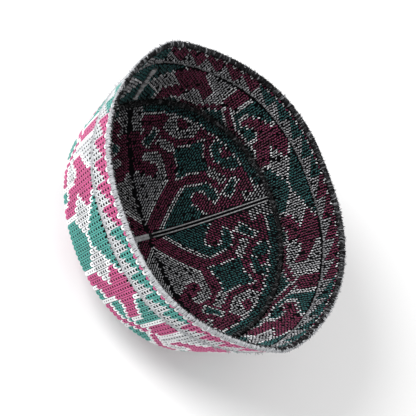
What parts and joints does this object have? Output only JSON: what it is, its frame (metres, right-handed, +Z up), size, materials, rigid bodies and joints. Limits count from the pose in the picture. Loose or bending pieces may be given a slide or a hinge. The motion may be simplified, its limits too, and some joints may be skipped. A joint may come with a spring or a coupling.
{
  "type": "kufi cap",
  "caption": "Brimless embroidered cap with a flared band, a domed crown folded along its length and an overlocked rim, resting on its crown with the opening up.",
  "frame": {"origin": "on the surface that the cap rests on, under the middle of its bounding box", "axes": "+Z up, out of the opening; +Y to the rear corner, where the band's closing seam is; +X to the right"},
  "size_m": [0.1728, 0.2087, 0.0945],
  "materials": {
    "band_embroidery": "dense chain-stitch embroidery in white, teal and rose",
    "crown_embroidery": "dense chain-stitch embroidery in white, teal and rose",
    "light_overlock": "fuzzy overlock stitching, light grey",
    "dark_overlock": "fuzzy overlock stitching, black",
    "grey_stitching": "zigzag stitching, mid grey"
  },
  "bodies": {
    "root": {"side_band": "band_embroidery", "crown_front_half": "crown_embroidery", "crown_rear_half": "crown_embroidery", "rim_overlock": "light_overlock", "crown_seam_ridge": "dark_overlock", "cross_seam_front_welt": "grey_stitching", "cross_seam_rear_welt": "grey_stitching", "band_seam_tape": "grey_stitching"}
  },
  "joints": []
}
